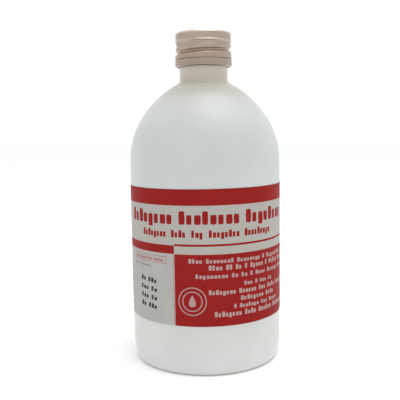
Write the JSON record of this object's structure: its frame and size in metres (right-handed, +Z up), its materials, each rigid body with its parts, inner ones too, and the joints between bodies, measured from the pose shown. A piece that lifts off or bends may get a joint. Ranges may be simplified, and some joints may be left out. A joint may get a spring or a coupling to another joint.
{
  "type": "solution bottle with screw cap",
  "caption": "Round translucent white plastic solution bottle with a domed shoulder, a wrap-around label and a rolled-on aluminium screw cap with a pilfer-proof band.",
  "frame": {"origin": "on the bottle's axis, in the plane of the standing ring under the base", "axes": "+Z up along the bottle's axis to the cap, -Y to the front of the label, +X to the right when it is seen from the front"},
  "size_m": [0.0762, 0.0763, 0.1643],
  "materials": {
    "bottle_hdpe": "translucent milky polyethylene, satin",
    "insert_ldpe": "translucent soft polyethylene",
    "solution": "clear watery liquid",
    "label_paper": "coated paper, satin varnish",
    "liner_foam": "fine closed-cell foam",
    "liner_film": "smooth film",
    "cap_aluminium": "lacquered rolled sheet, satin",
    "band_aluminium": "lacquered rolled sheet, satin"
  },
  "bodies": {
    "bottle": {"bottle": "bottle_hdpe", "neck_insert": "insert_ldpe", "solution": "solution", "label": "label_paper"},
    "liner": {"liner_core": "liner_foam", "liner_facing": "liner_film"},
    "cap": {"cap_shell": "cap_aluminium"},
    "band": {"pilfer_band": "band_aluminium"}
  },
  "joints": [
    {"name": "cap_lift", "type": "slide", "parent": "bottle", "child": "liner", "axis": [0, 0, 1], "range_m": [0, 0.0159]},
    {"name": "cap_turn", "type": "hinge", "parent": "liner", "child": "cap", "pos_m": [0, 0, 0.16], "axis": [0, 0, 1], "range_deg": [0, 1800]},
    {"name": "band_spin", "type": "hinge", "parent": "bottle", "child": "band", "pos_m": [0, 0, 0.15], "axis": [0, 0, 1], "continuous": true}
  ],
  "couplings": [
    {"joint": "cap_lift", "follows": "cap_turn", "m_per_rad": 0.00050532}
  ]
}
